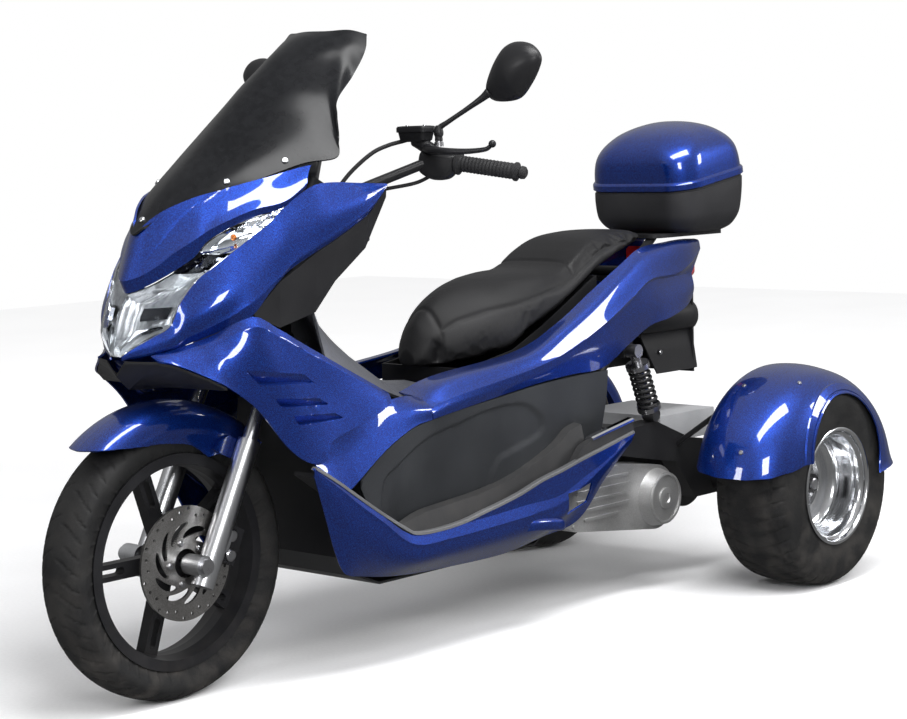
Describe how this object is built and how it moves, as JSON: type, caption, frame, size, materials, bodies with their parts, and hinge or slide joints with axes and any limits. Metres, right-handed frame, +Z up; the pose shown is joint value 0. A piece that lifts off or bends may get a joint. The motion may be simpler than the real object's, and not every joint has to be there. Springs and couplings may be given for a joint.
{
  "type": "motor trike",
  "caption": "Scooter-based motor trike with steered front wheel, wide driven rear wheels, fenders, stepped opening seat, tall screen and hinged top box.",
  "frame": {"origin": "on the ground, at the middle of the length and width", "axes": "+X forward, +Y to the rider's left, +Z up"},
  "size_m": [2.2403, 1.094, 1.3382],
  "materials": {
    "blue_paint": "gloss metallic",
    "black_plastic": "satin",
    "grey_plastic": "textured",
    "clear_lens": "clear",
    "smoked_screen": "smoked",
    "red_lens": "clear red",
    "tyre_rubber": "matt",
    "black_cast": "satin black",
    "polished_alloy": "polished",
    "fork_alloy": "satin",
    "steel": "ground",
    "frame_steel": "satin black",
    "engine_alloy": "cast",
    "grip_rubber": "matt",
    "seat_cover": "grained",
    "axle_grey": "satin grey"
  },
  "bodies": {
    "chassis": {"main_frame": "frame_steel", "headlamp_lens": "clear_lens", "headlamp_housing": "black_plastic", "front_beak": "blue_paint", "front_cowls": "blue_paint", "leg_shields": "blue_paint", "nose_under_panel": "black_plastic", "inner_shield": "black_plastic", "instrument_panel": "black_plastic", "tunnel_cover": "black_plastic", "windscreen": "smoked_screen", "under_tray": "black_plastic", "footboards": "black_plastic", "side_skirts": "blue_paint", "side_panels": "grey_plastic", "tail_covers": "blue_paint", "tail_lamp": "red_lens", "plate_bracket": "black_plastic", "carrier_rack": "frame_steel", "top_box_base": "black_plastic", "seat_bin": "black_plastic", "engine_block": "engine_alloy", "belt_case": "engine_alloy", "silencer": "steel", "rear_frame": "frame_steel", "axle_box": "axle_grey", "shock_dampers": "steel", "rear_fenders": "blue_paint", "fender_stays": "frame_steel"},
    "steering": {"fork_legs": "fork_alloy", "front_axle": "steel", "fork_crown": "frame_steel", "handlebar": "frame_steel", "grips": "grip_rubber", "hand_controls": "black_plastic", "mirrors": "black_plastic", "front_caliper": "black_cast", "front_mudguard": "blue_paint"},
    "front_wheel": {"front_tyre": "tyre_rubber", "front_rim": "black_cast", "brake_disc": "steel"},
    "rear_wheel_left": {"rear_tyre_left": "tyre_rubber", "rear_rim_left": "polished_alloy"},
    "rear_wheel_right": {"rear_tyre_right": "tyre_rubber", "rear_rim_right": "polished_alloy"},
    "seat": {"seat": "seat_cover"},
    "box_lid": {"top_box_lid": "blue_paint"}
  },
  "joints": [
    {"name": "steer", "type": "hinge", "parent": "chassis", "child": "steering", "pos_m": [0.925, 0, 0], "axis": [-0.454, 0, 0.891], "range_deg": [-35, 35]},
    {"name": "front_wheel_spin", "type": "hinge", "parent": "steering", "child": "front_wheel", "pos_m": [0.84, 0, 0.28], "axis": [0, 1, 0], "continuous": true},
    {"name": "rear_wheel_left_spin", "type": "hinge", "parent": "chassis", "child": "rear_wheel_left", "pos_m": [-0.82, 0.43, 0.245], "axis": [0, 1, 0], "continuous": true},
    {"name": "rear_wheel_right_spin", "type": "hinge", "parent": "chassis", "child": "rear_wheel_right", "pos_m": [-0.82, -0.43, 0.245], "axis": [0, 1, 0], "continuous": true},
    {"name": "seat_open", "type": "hinge", "parent": "chassis", "child": "seat", "pos_m": [0.135, 0, 0.59], "axis": [0, 1, 0], "range_deg": [0, 45]},
    {"name": "box_open", "type": "hinge", "parent": "chassis", "child": "box_lid", "pos_m": [-0.7253, 0, 0.9544], "axis": [0, 1, 0], "range_deg": [0, 70]}
  ]
}
